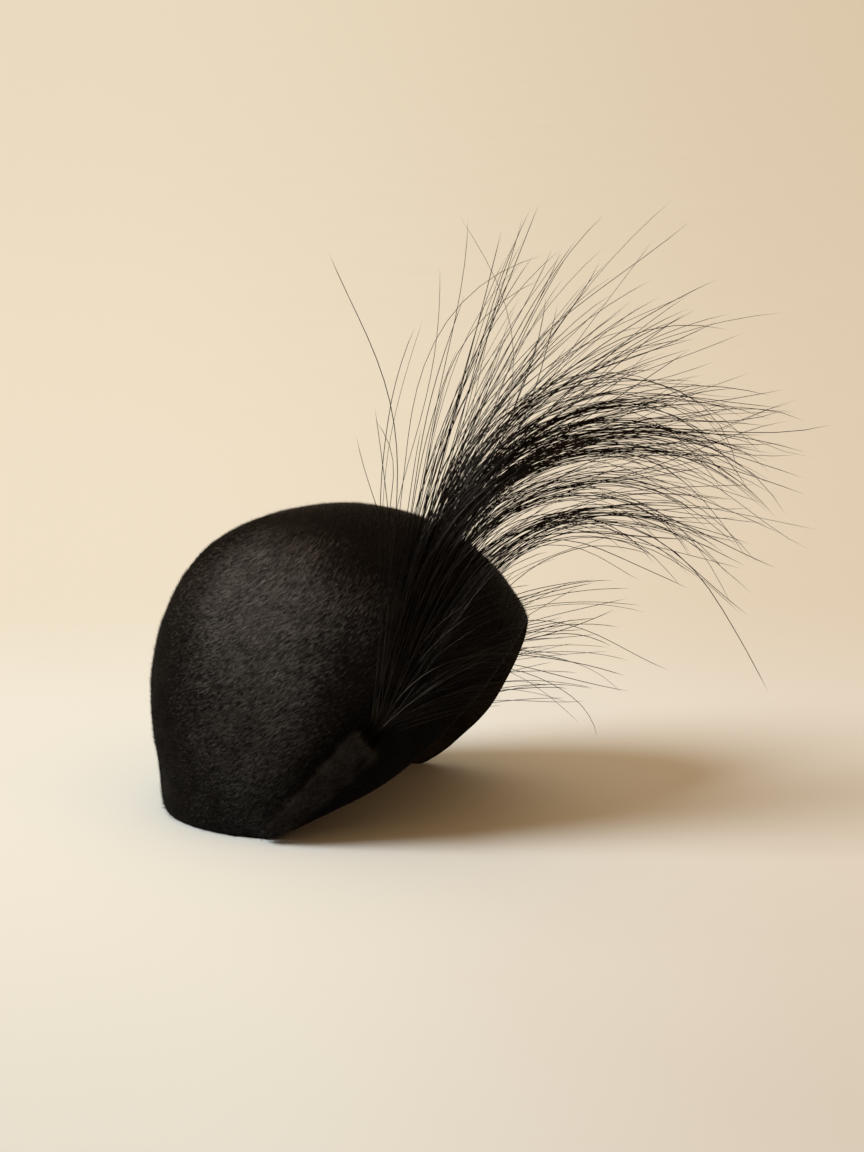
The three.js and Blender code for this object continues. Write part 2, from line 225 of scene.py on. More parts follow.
class Surface:
    """A material, or the light of the world, made node by node."""

    def __init__(self, owner):
        owner.use_nodes = True
        self.owner = owner
        self.tree = owner.node_tree
        self.tree.nodes.clear()

    def node(self, kind, settings, sockets):
        """A node of this kind, with its settings, and its sockets given values or links."""
        made = self.tree.nodes.new(kind)
        for name, value in settings.items():
            setattr(made, name, value)
        for name, value in sockets.items():
            socket = made.inputs[name]
            value = getattr(value, "socket", value)
            if isinstance(value, bpy.types.NodeSocket):
                self.tree.links.new(value, socket)
            else:
                socket.default_value = value
        return made

    def number(self, kind, settings, sockets, output=0):
        """The same, as a number that can be worked with."""
        return Number(self, self.node(kind, settings, sockets).outputs[output])

    def place(self):
        """The place on the surface, in the frame's metres."""
        return self.node("ShaderNodeTexCoord", {}, {}).outputs["Object"]

    def noise(self, place, scale, detail=2.0, roughness=0.5, distortion=0.0):
        """Soft mottling from 0 to 1, with that many blots to the metre."""
        sockets = {"Vector": place, "Scale": scale, "Detail": detail,
                   "Roughness": roughness, "Distortion": distortion}
        return self.number("ShaderNodeTexNoise", {}, sockets)

    def ramp(self, value, low, high, to_low=0.0, to_high=1.0):
        """A value carried from one range to another, held at its ends."""
        sockets = {"Value": value, "From Min": low, "From Max": high,
                   "To Min": to_low, "To Max": to_high}
        return self.number("ShaderNodeMapRange", {"interpolation_type": "SMOOTHSTEP"}, sockets)

    def mix(self, share, first, second, blend="MIX"):
        """A colour between two others, or the first with a share of the second blended in."""
        settings = {"data_type": "RGBA", "blend_type": blend}
        return self.node("ShaderNodeMix", settings, {0: share, 6: first, 7: second}).outputs[2]

    def bump(self, height, strength, distance):
        """A normal that follows a height."""
        sockets = {"Height": height, "Strength": strength, "Distance": distance}
        return self.node("ShaderNodeBump", {}, sockets).outputs["Normal"]

    def vector(self, operation, first, second):
        """Vector maths on two vectors, or on a vector and what it's scaled by."""
        sockets = {0: first, 3 if operation == "SCALE" else 1: second}
        return self.node("ShaderNodeVectorMath", {"operation": operation}, sockets).outputs[0]

    def lean(self, normal, place, share):
        """A normal that leans back from the way that the nap lies, round the cap and upwards."""
        out = self.vector("SUBTRACT", place, CAP_CENTRE)
        around = self.vector("NORMALIZE", self.vector("CROSS_PRODUCT", CAP_AXIS, out), (0, 0, 0))
        raised = self.vector("ADD", around, CAP_AXIS * 0.35)
        leant = self.vector("ADD", normal, self.vector("SCALE", raised, -share))
        return self.vector("NORMALIZE", leant, (0, 0, 0))

    def shader(self, sockets):
        """A Principled shader with these sockets."""
        return self.node("ShaderNodeBsdfPrincipled", {}, sockets).outputs[0]

    def mix_shaders(self, share, first, second):
        """A shader between two others."""
        return self.node("ShaderNodeMixShader", {}, {0: share, 1: first, 2: second}).outputs[0]

    def finish(self, shader):
        """Ends the material in this shader."""
        self.node("ShaderNodeOutputMaterial", {}, {"Surface": shader})
        return self.owner


def colour(red, green, blue):
    """A colour with full alpha."""
    return (red, green, blue, 1.0)


def felt_finish(settings, name, gloss):
    """The felt under the nap: dark, mottled, and streaked the way it was brushed, and painted
    lighter inside the cap as painted light in the hollow.
    """
    felt = Surface(bpy.data.materials.new(name))
    place = felt.place()
    centred = felt.node(
        "ShaderNodeMapping",
        {"vector_type": "TEXTURE"},
        {"Vector": place, "Location": CAP_CENTRE, "Rotation": CAP_TURN.to_euler()},
    ).outputs[0]
    axes = felt.node("ShaderNodeSeparateXYZ", {}, {"Vector": centred})
    across, side, height = (Number(felt, axes.outputs[index]) for index in range(3))
    reach = (across * across + side * side) ** 0.5
    climb = felt.number("ShaderNodeMath", {"operation": "ARCTAN2"}, {0: height, 1: reach})
    # The noise is squeezed less up the cap than round it, and slants with the strokes
    level_pace, climb_pace = 110, 42
    brushed = felt.node("ShaderNodeCombineXYZ", {}, {
        "X": across * level_pace,
        "Y": side * level_pace,
        "Z": climb * climb_pace - across * level_pace,
    }).outputs[0]
    strokes = felt.noise(brushed, 3.1, detail=4, roughness=0.65, distortion=0.5)
    blots = felt.noise(place, 38, detail=3)
    shade = felt.ramp(strokes * 0.6 + blots * 0.4, 0.3, 0.7)
    lay = felt.lean(felt.bump(strokes, strength=0.8, distance=0.8 * MM), place, share=0.2)
    outside = felt.mix(shade, colour(*settings.felt_dark), colour(*settings.felt_light))
    # Inside the cap the felt is painted lighter, as painted light in the hollow
    inside = felt.mix(shade, colour(*settings.felt_light), colour(*settings.felt_inside_painted_light))
    within = felt.node("ShaderNodeAttribute", {"attribute_name": "inside"}, {}).outputs["Fac"]
    fibres = {
        "Base Color": felt.mix(within, outside, inside),
        "Normal": lay,
        "Specular Tint": colour(0.96, 0.95, 0.93),
    }
    satin = felt.shader({
        **fibres,
        "Roughness": felt.ramp(strokes, 0.3, 0.7, 0.52, 0.4),
        "Specular IOR Level": gloss,
        "Anisotropic": 0.6,
        "Anisotropic Rotation": 0.35,
    })
    matte = felt.shader({**fibres, "Roughness": 0.8, "Specular IOR Level": 0.05})
    # The sheen goes where the felt turns away, towards the plume, low down and between strokes
    turned = felt.number("ShaderNodeLayerWeight", {}, {"Blend": 0.5}, "Facing")
    along = felt.node("ShaderNodeSeparateXYZ", {}, {"Vector": place})
    near_plume = felt.ramp(Number(felt, along.outputs[0]), -0.123, -0.04)
    low_down = felt.ramp(Number(felt, along.outputs[2]), 0.13, 0.07)
    ruffled = near_plume * 0.6 + low_down * 0.3 + (blots - 0.5) * 0.4 + (0.5 - strokes) * 2.0
    return felt.finish(felt.mix_shaders(felt.ramp(turned + ruffled, 0.18, 0.76), satin, matte))


def hair_finish(name, dark, light, roughness, gloss, blots_a_metre, root_shade_reach=0.0):
    """Hair lighter in some places than in others, and painted dark and dull, as painted shade,
    within the given distance of the sleeve's mouth.
    """
    hair = Surface(bpy.data.materials.new(name))
    place = hair.place()
    blots = hair.ramp(hair.noise(place, blots_a_metre, detail=1), 0.35, 0.65)
    shiny = {
        "Base Color": hair.mix(blots, colour(*dark), colour(*light)),
        "Roughness": (1.25 - blots * 0.5) * roughness,
        "Specular IOR Level": gloss,
        "Specular Tint": colour(1.0, 0.96, 0.91),
    }
    if not root_shade_reach:
        return hair.finish(hair.shader(shiny))
    # Near the sleeve's mouth the hair is painted dark and dull, as painted shade at the plume's
    # root
    from_mouth = hair.number(
        "ShaderNodeVectorMath", {"operation": "DISTANCE"}, {0: place, 1: tuple(MOUTH)}, "Value"
    )
    share = hair.ramp(from_mouth, root_shade_reach, root_shade_reach * 0.4)
    root_shade = {"Base Color": colour(*dark), "Roughness": 0.9, "Specular IOR Level": 0.01}
    return hair.finish(hair.mix_shaders(share, hair.shader(shiny), hair.shader(root_shade)))


def stage_finish(settings):
    """Pale paper with painted shade: warmer far away, and a little darker near by, far away and on
    the right, where less light falls.
    """
    paper = Surface(bpy.data.materials.new("stage_paper"))
    axes = paper.node("ShaderNodeSeparateXYZ", {}, {"Vector": paper.place()})
    across, away = (Number(paper, axes.outputs[index]) for index in range(2))
    # Both as the camera sees them: how near the paper is, and how far to the right of the middle
    camera_back, nearest = 1.37, 0.6
    ahead = paper.number(
        "ShaderNodeMath", {"operation": "MAXIMUM"}, {0: away + camera_back, 1: nearest}
    )
    depth = 1.0 / ahead
    sideways = across * depth
    grain = (paper.noise(paper.place(), 7, detail=5, roughness=0.6) - 0.5) * 0.05
    far = paper.ramp(depth + grain * 0.5, 0.655, 0.54)
    farther = paper.ramp(depth, 0.5, 0.05)
    right = paper.ramp(sideways + grain, -0.13, 0.2)
    near = paper.ramp(depth, 0.72, 1.05)
    # Painted shade: the paper is darker near by, far away and on the right, where less light falls
    floor = paper.mix(far, colour(*settings.floor_colour), colour(*settings.far_painted_shade))
    floor = paper.mix(near, floor, colour(*settings.near_painted_shade))
    tone = paper.mix(farther, floor, colour(*settings.farthest_painted_shade))
    shade = paper.mix(right, colour(1, 1, 1), colour(*settings.right_painted_shade))
    shaded = paper.mix(1.0, tone, shade, "MULTIPLY")
    return paper.finish(
        paper.shader({"Base Color": shaded, "Roughness": 0.9, "Specular IOR Level": 0.1})
    )


def deselect():
    """Leaves object mode with nothing selected."""
    if bpy.context.object and bpy.context.object.mode != "OBJECT":
        bpy.ops.object.mode_set(mode="OBJECT")
    bpy.ops.object.select_all(action="DESELECT")


def choose(piece):
    """Makes one piece the only one selected, and the active one."""
    deselect()
    piece.select_set(True)
    bpy.context.view_layer.objects.active = piece


def apply_modifier(piece, kind, **settings):
    """Adds a modifier with these settings and applies it."""
    choose(piece)
    bpy.ops.object.modifier_add(type=kind)
    modifier = piece.modifiers[-1]
    for name, value in settings.items():
        setattr(modifier, name, value)
    bpy.ops.object.modifier_apply(modifier=modifier.name)


def soft_copy(node, name):
    """A copy of a solid with its facets joined up and rounded."""
    piece = bpy.data.objects.new(name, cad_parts[node].data.copy())
    bpy.context.collection.objects.link(piece)
    piece.data.materials.clear()
    choose(piece)
    bpy.ops.object.mode_set(mode="EDIT")
    bpy.ops.mesh.select_all(action="SELECT")
    bpy.ops.mesh.remove_doubles(threshold=0.00001)
    bpy.ops.mesh.tris_convert_to_quads(face_threshold=0.9, shape_threshold=0.9)
    bpy.ops.object.mode_set(mode="OBJECT")
    apply_modifier(piece, "SUBSURF", levels=1, render_levels=1)
    return piece


def undulate(piece, size, depth):
    """Gives a piece of felt the slight hollows and swells of a soft material."""
    texture = bpy.data.textures.new(piece.name + "_swells", "CLOUDS")
    texture.noise_scale = size
    apply_modifier(piece, "DISPLACE", texture=texture, texture_coords="GLOBAL",
                   strength=depth, mid_level=0.5)
    bpy.data.textures.remove(texture)


def keep_above_floor(piece):
    """Lays on the floor what would reach under it."""
    for vertex in piece.data.vertices:
        vertex.co.z = max(vertex.co.z, 0.0)


def corner_points(piece):
    """The corners of a piece's triangles, as an array of triangles by 3 by 3."""
    mesh = piece.data
    mesh.calc_loop_triangles()
    places = np.empty(len(mesh.vertices) * 3)
    mesh.vertices.foreach_get("co", places)
    corners = np.empty(len(mesh.loop_triangles) * 3, dtype=np.int32)
    mesh.loop_triangles.foreach_get("vertices", corners)
    return places.reshape(-1, 3)[corners.reshape(-1, 3)]


def scatter(piece, count, seed, share):
    """Points spread over a piece, more where share is more, with the way out of the surface."""
    random = np.random.default_rng(seed)
    corners = corner_points(piece)
    outward = np.cross(corners[:, 1] - corners[:, 0], corners[:, 2] - corners[:, 0])
    area = np.linalg.norm(outward, axis=1)
    outward = outward / np.maximum(area, 1e-12)[:, None]
    weight = area * share(corners.mean(axis=1), outward)
    picked = random.choice(len(corners), size=count, p=weight / weight.sum())
    first = np.sqrt(random.random((count, 1)))
    second = random.random((count, 1))
    places = (
        corners[picked, 0] * (1 - first)
        + corners[picked, 1] * first * (1 - second)
        + corners[picked, 2] * first * second
    )
    return places, outward[picked]


def mesh_piece(name, places, faces, maps, material):
    """One mesh object from arrays: its points, its triangles, and where each corner is mapped."""
    mesh = bpy.data.meshes.new(name)
    mesh.vertices.add(len(places))
    mesh.vertices.foreach_set("co", places.astype(np.float32).ravel())
    mesh.loops.add(faces.size)
    mesh.loops.foreach_set("vertex_index", faces.astype(np.int32).ravel())
    mesh.polygons.add(len(faces))
    mesh.polygons.foreach_set("loop_start", np.arange(0, faces.size, 3, dtype=np.int32))
    mesh.update(calc_edges=True)
    layer = mesh.uv_layers.new(name="OFBake")
    layer.uv.foreach_set("vector", maps.astype(np.float32).ravel())
    mesh.materials.append(material)
    piece = bpy.data.objects.new(name, mesh)
    bpy.context.collection.objects.link(piece)
    return piece


def cell_maps(patterns, count):
    """Lays a map pattern, in a unit square, once for each of count copies in a square of cells."""
    wide = math.ceil(math.sqrt(count))
    column, row = np.arange(count) % wide, np.arange(count) // wide
    corner = np.stack([column, row], axis=1)[:, None, :]
    margin = 0.07
    return ((patterns[None] * (1 - 2 * margin) + margin + corner) / wide).reshape(-1, 2)


def spikes(name, roots, ways, outward, lengths, widths, material):
    """Short straight hairs lying on a surface: each a closed flat spike on three corners."""
    count = len(roots)
    sideways = unit(np.cross(ways, outward))
    upward = np.cross(sideways, ways)
    half = widths[:, None] / 2
    corners = [roots - sideways * half, roots + upward * half * 0.4, roots + sideways * half]
    places = np.stack(corners + [roots + ways * lengths[:, None]], axis=1).reshape(-1, 3)
    one = np.array([(0, 1, 3), (1, 2, 3), (2, 0, 3), (0, 2, 1)])
    faces = (np.arange(count)[:, None, None] * 4 + one[None]).reshape(-1, 3)
    pattern = np.array([
        (0.00, 0.0), (0.33, 0.0), (0.17, 1.0),
        (0.33, 0.0), (0.66, 0.0), (0.50, 1.0),
        (0.66, 0.0), (0.99, 0.0), (0.83, 1.0),
        (0.20, 1.0), (0.47, 1.0), (0.33, 0.3),
    ])
    return mesh_piece(name, places, faces, cell_maps(pattern, count), material)


def above_floor(roots, ways, lengths):
    """The same short hairs, with roots and tips kept just above the floor."""
    lowest_root, lowest_tip = 0.4 * MM, 0.25 * MM
    roots = roots.copy()
    roots[:, 2] = np.maximum(roots[:, 2], lowest_root)
    tips = roots + ways * lengths[:, None]
    tips[:, 2] = np.maximum(tips[:, 2], lowest_tip)
    reach = tips - roots
    return roots, unit(reach), np.linalg.norm(reach, axis=1)


def tubes(name, lines, radii, material):
    """Long hairs: each a closed three-sided tube along its line, drawn out to a point."""
    count, last = lines.shape[0], lines.shape[1] - 1
    ways = unit(np.gradient(lines, axis=1))
    sideways = unit(np.cross(ways, np.array((0.0, 1.0, 0.05))))
    upward = np.cross(sideways, ways)
    rings = []
    for turn in (0.5, 0.5 + 2 / 3, 0.5 + 4 / 3):
        around = math.cos(math.pi * turn) * sideways + math.sin(math.pi * turn) * upward
        rings.append((lines + around * radii[..., None])[:, :last])
    rings = np.stack(rings, axis=2).reshape(count, -1, 3)
    places = np.concatenate([rings, lines[:, last:]], axis=1)
    tip = last * 3
    one, pattern = [(0, 2, 1)], [(0.1, 0.0), (0.9, 0.0), (0.5, 0.02)]
    for ring in range(last):
        low, high = 0.04 + 0.96 * ring / last, 0.04 + 0.96 * (ring + 1) / last
        for side in range(3):
            left, right = side / 3, (side + 1) / 3
            here, beside = ring * 3 + side, ring * 3 + (side + 1) % 3
            if ring == last - 1:
                one.append((here, beside, tip))
                pattern += [(left, low), (right, low), ((left + right) / 2, high)]
                continue
            one += [(here, beside, beside + 3), (here, beside + 3, here + 3)]
            pattern += [(left, low), (right, low), (right, high)]
            pattern += [(left, low), (right, high), (left, high)]
    faces = (np.arange(count)[:, None, None] * (tip + 1) + np.array(one)[None]).reshape(-1, 3)
    maps = cell_maps(np.array(pattern), count)
    return mesh_piece(name, places.reshape(-1, 3), faces, maps, material)


def combed(ways, outward, drift, lift):
    """Ways laid along a surface, turned on it by drift and lifted off it by lift, in degrees."""
    ways = ways - outward * (ways * outward).sum(axis=1, keepdims=True)
    ways = unit(ways + 1e-9)
    turn, rise = np.radians(drift)[:, None], np.radians(lift)[:, None]
    ways = ways * np.cos(turn) + np.cross(outward, ways) * np.sin(turn)
    return ways * np.cos(rise) + outward * np.sin(rise)


def brushed_way(places, outward, settings, seed):
    """The way the nap lies at each place: round the cap, and a little unruly."""
    random = np.random.default_rng(seed)
    around = np.cross(np.array(CAP_AXIS), places - np.array(CAP_CENTRE))
    drift = 20 + 12 * ripple(places, 0.045, 11) + 9 * ripple(places, 0.012, 12)
    drift += settings.unruly * random.normal(size=len(places))
    ruffle = 1 + 0.35 * ripple(places, 0.02, 13) + 0.35 * random.normal(size=len(places))
    lift = np.clip(math.degrees(settings.lift) * ruffle, 1.5, 38)
    return combed(around, outward, drift, lift)


def nap_share(middle, outward):
    """How thick the nap stands: full outside, thinner on the cut edge and inside the cap."""
    reach = unit(middle - np.array(CAP_CENTRE) - 0.02 * np.array(CAP_AXIS))
    facing = (reach * outward).sum(axis=1)
    return np.where(facing > 0.25, OUTSIDE_NAP, np.where(facing > -0.3, EDGE_NAP, INSIDE_NAP))


def mark_inside(piece):
    """Gives the cap's points an attribute that is 1 inside the cap and 0 outside."""
    places = np.array([point.co for point in piece.data.vertices])
    outward = np.array([point.vector for point in piece.data.vertex_normals])
    inside = piece.data.attributes.new("inside", "FLOAT", "POINT")
    inside.data.foreach_set("value", (nap_share(places, outward) < EDGE_NAP).astype(float))


class HatSettings(bpy.types.PropertyGroup):
    """Sizes and colours of the felt and of the hair."""

    swell: bpy.props.FloatProperty(
        name="Swell", description="How far the felt rises and falls", default=0.7 * MM,
        min=0, unit="LENGTH")
    nap_count: bpy.props.IntProperty(
        name="Nap hairs", description="Short hairs in each of the nap's pieces", default=38000,
        min=100, max=48000)
    nap_pieces: bpy.props.IntProperty(
        name="Nap pieces", description="Pieces that the nap of the crown is split into", default=5,
        min=1, max=6)
    sleeve_count: bpy.props.IntProperty(
        name="Sleeve hairs", description="Short hairs on the sleeve", default=20000,
        min=100, max=48000)
    nap_length: bpy.props.FloatProperty(
        name="Nap length", description="Length of the felt's short hairs", default=4.6 * MM,
        min=0, unit="LENGTH")
    nap_width: bpy.props.FloatProperty(
        name="Nap width", description="Width of a short hair at its root", default=0.13 * MM,
        min=0, unit="LENGTH")
    lift: bpy.props.FloatProperty(
        name="Lift", description="How far the nap stands off the felt",
        default=math.radians(13), subtype="ANGLE")
    unruly: bpy.props.FloatProperty(
        name="Unruly", description="Degrees by which single hairs stray from the brushed way",
        default=6)
    hair_width: bpy.props.FloatProperty(
        name="Hair width", description="Width of a long hair of the plume", default=0.42 * MM,
        min=0, unit="LENGTH")
    felt_dark: bpy.props.FloatVectorProperty(
        name="Felt, dark", description="Colour in the depth of the felt", subtype="COLOR",
        default=(0.0010, 0.0008, 0.0007))
    felt_light: bpy.props.FloatVectorProperty(
        name="Felt, light", description="Colour of the felt's raised fibres", subtype="COLOR",
        default=(0.0046, 0.0037, 0.0030))
    # Painted light: the felt inside the cap is painted lighter than outside
    felt_inside_painted_light: bpy.props.FloatVectorProperty(
        name="Felt, inside", description="Colour of the raised fibres inside the cap",
        subtype="COLOR", default=(0.045, 0.037, 0.030))
    nap_dark: bpy.props.FloatVectorProperty(
        name="Nap, dark", description="Darker hairs of the nap", subtype="COLOR",
        default=(0.0007, 0.0006, 0.0005))
    nap_light: bpy.props.FloatVectorProperty(
        name="Nap, light", description="Lighter hairs of the nap", subtype="COLOR",
        default=(0.0036, 0.0029, 0.0023))
    sleeve_light: bpy.props.FloatVectorProperty(
        name="Sleeve, light", description="Lighter hairs of the sleeve's ruffled nap",
        subtype="COLOR", default=(0.012, 0.0098, 0.0078))
    plume_dark: bpy.props.FloatVectorProperty(
        name="Plume, dark", description="Darker hairs of the plume", subtype="COLOR",
        default=(0.0012, 0.0010, 0.0008))
    plume_light: bpy.props.FloatVectorProperty(
        name="Plume, light", description="Lighter hairs of the plume", subtype="COLOR",
        default=(0.007, 0.005, 0.0035))


class StageSettings(bpy.types.PropertyGroup):
    """Colours of the studio and strength of its light."""

    floor_colour: bpy.props.FloatVectorProperty(
        name="Floor", description="Colour of the paper under the hat", subtype="COLOR",
        default=(0.683, 0.836, 0.919))
    # The near, far and farthest floor colours are painted shade on the paper, darker where less
    # light falls
    near_painted_shade: bpy.props.FloatVectorProperty(
        name="Near floor", description="Colour of the paper in front of the hat", subtype="COLOR",
        default=(0.615, 0.755, 0.84))
    far_painted_shade: bpy.props.FloatVectorProperty(
        name="Far floor", description="Colour of the paper behind the hat", subtype="COLOR",
        default=(0.654, 0.766, 0.784))
    farthest_painted_shade: bpy.props.FloatVectorProperty(
        name="Farthest floor", description="Colour of the paper in the distance", subtype="COLOR",
        default=(0.622, 0.722, 0.718))
    # Painted shade on the right of the paper, where the light falls off
    right_painted_shade: bpy.props.FloatVectorProperty(
        name="Right shade", description="What the paper's colour is multiplied by on the right",
        subtype="COLOR", default=(0.86, 0.80, 0.76))
    key_power: bpy.props.FloatProperty(
        name="Key light", description="Strength of the soft light on the left", default=3.8,
        min=0)
    key_spread: bpy.props.FloatProperty(
        name="Key spread", description="How wide the soft light looks from the hat",
        default=math.radians(29), min=0, subtype="ANGLE")
    fill_low: bpy.props.FloatVectorProperty(
        name="Fill, low", description="Light from the dark side of the studio", subtype="COLOR",
        default=(0.11, 0.055, 0.022))
    wall_colour: bpy.props.FloatVectorProperty(
        name="Wall", description="Colour seen past the end of the floor", subtype="COLOR",
        default=(0.79, 0.67, 0.505))


class HAT_OT_stage(bpy.types.Operator):
    """Sets up the camera, the lights and the paper floor"""

    bl_idname = "hat.stage"
    bl_label = "Stage"

    def execute(self, context):
        settings = context.scene.stage_settings
        self.camera(context)
        self.paper(settings)
        self.lights(context, settings)
        context.scene.view_settings.view_transform = "Standard"
        return {"FINISHED"}

    def camera(self, context):
        """An 85 mm lens that looks a little down on the hat."""
        rise = math.radians(13.675)
        target = Vector((-23.62, 2.73, 125.57)) * MM
        back = Vector((0, -math.cos(rise), math.sin(rise))) * 1411.8 * MM
        deselect()
        bpy.ops.object.camera_add(location=target + back, rotation=(math.pi / 2 - rise, 0, 0))
        camera = context.object
        camera.name = "camera"
        camera.data.lens = 85
        camera.data.sensor_width = 36
        camera.data.clip_start = 0.05
        camera.data.clip_end = 120
        context.scene.camera = camera

    def paper(self, settings):
        """A floor that reaches as far as the camera sees."""
        deselect()
        bpy.ops.mesh.primitive_plane_add(size=80, location=(0, 0, 0))
        paper = bpy.context.object
        paper.name = "paper_floor"
        paper.data.materials.append(stage_finish(settings))

    def lights(self, context, settings):
        """One broad light from the left, and a warm light from all round."""
        rise, ahead = math.radians(33), math.radians(14)
        level = math.cos(rise)
        way = Vector((-level * math.cos(ahead), -level * math.sin(ahead), math.sin(rise)))
        deselect()
        bpy.ops.object.light_add(type="SUN", location=way * 3)
        key = context.object
        key.name = "key_light"
        key.rotation_euler = way.to_track_quat("Z", "Y").to_euler()
        key.data.angle = settings.key_spread
        key.data.energy = settings.key_power
        key.data.color = (1.0, 0.9, 0.81)
        context.scene.world = bpy.data.worlds.new("studio")
        studio = Surface(context.scene.world)
        seen_at = studio.node("ShaderNodeTexCoord", {}, {}).outputs["Generated"]
        glow_edge = 0.45
        glow = colour(*settings.fill_low)
        for direction, strength in FILLS:
            facing = studio.number(
                "ShaderNodeVectorMath", {"operation": "DOT_PRODUCT"},
                {0: seen_at, 1: Vector(direction).normalized()}, "Value",
            )
            share = studio.ramp(facing, glow_edge, 1.0)
            glow = studio.mix(share, glow, colour(*strength), "ADD")
        fill = studio.node("ShaderNodeBackground", {}, {"Color": glow}).outputs[0]
        wall_colour = colour(*settings.wall_colour)
        wall = studio.node("ShaderNodeBackground", {}, {"Color": wall_colour}).outputs[0]
        seen = studio.node("ShaderNodeLightPath", {}, {}).outputs["Is Camera Ray"]
        light = studio.mix_shaders(seen, fill, wall)
        studio.node("ShaderNodeOutputWorld", {}, {"Surface": light})


class HAT_OT_crown(bpy.types.Operator):
    """Models the blocked felt of the crown"""

    bl_idname = "hat.crown"
    bl_label = "Crown"

    def execute(self, context):
        settings = context.scene.hat_settings
        crown = soft_copy("crown", "crown_felt")
        undulate(crown, 0.035, settings.swell)
        undulate(crown, 0.009, settings.swell * 0.35)
        keep_above_floor(crown)
        choose(crown)
        bpy.ops.object.shade_smooth()
        mark_inside(crown)
        crown.data.materials.append(felt_finish(settings, "brushed_felt", gloss=0.58))
        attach(crown, "root")
        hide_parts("crown")
        return {"FINISHED"}


class HAT_OT_nap(bpy.types.Operator):
    """Covers the crown with short hair, brushed one way"""

    bl_idname = "hat.nap"
    bl_label = "Nap"

    def execute(self, context):
        settings = context.scene.hat_settings
        crown = bpy.data.objects["crown_felt"]
        finish = hair_finish(
            "nap_hair", settings.nap_dark, settings.nap_light,
            roughness=0.4, gloss=0.12, blots_a_metre=600,
        )
        for index in range(settings.nap_pieces):
            random = np.random.default_rng(40 + index)
            count = settings.nap_count
            places, outward = scatter(crown, count, 20 + index, nap_share)
            ways = brushed_way(places, outward, settings, 30 + index)
            lengths = settings.nap_length * random.uniform(0.55, 1.3, count)
            lengths[nap_share(places, outward) < OUTSIDE_NAP] *= SHORT_NAP
            widths = settings.nap_width * random.uniform(0.7, 1.3, count)
            roots, ways, lengths = above_floor(places - outward * 0.25 * MM, ways, lengths)
            nap = spikes(f"nap_{index + 1}", roots, ways, outward, lengths, widths, finish)
            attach(nap, "root")
        return {"FINISHED"}


class HAT_OT_sleeve(bpy.types.Operator):
    """Models the rolled felt sleeve that holds the plume, with its nap"""

    bl_idname = "hat.sleeve"
    bl_label = "Sleeve"

    def execute(self, context):
        settings = context.scene.hat_settings
        sleeve = soft_copy("felt_sleeve", "sleeve_felt")
        undulate(sleeve, 0.012, settings.swell)
        keep_above_floor(sleeve)
        choose(sleeve)
        bpy.ops.object.shade_smooth()
        sleeve.data.materials.append(felt_finish(settings, "rolled_felt", gloss=0.12))
        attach(sleeve, "root")
        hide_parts("felt_sleeve")
        count = settings.sleeve_count
        random = np.random.default_rng(60)
        places, outward = scatter(sleeve, count, 61, lambda middle, outward: np.ones(len(middle)))
        drift = 30 * ripple(places, 0.009, 62) + 22 * random.normal(size=count)
        lift = np.clip(random.normal(28, 16, count), 3, 75)
        ways = combed(np.tile(MOUTH_WAY, (count, 1)), outward, drift, lift)
        lengths = settings.nap_length * random.uniform(0.5, 1.6, count)
        roots, ways, lengths = above_floor(places - outward * 0.2 * MM, ways, lengths)
        widths = settings.nap_width * random.uniform(0.7, 1.2, count)
        finish = hair_finish(
            "sleeve_hair", settings.nap_dark, settings.sleeve_light,
            roughness=0.4, gloss=0.35, blots_a_metre=400,
        )
        nap = spikes("sleeve_nap", roots, ways, outward, lengths, widths, finish)
        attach(nap, "root")
        return {"FINISHED"}


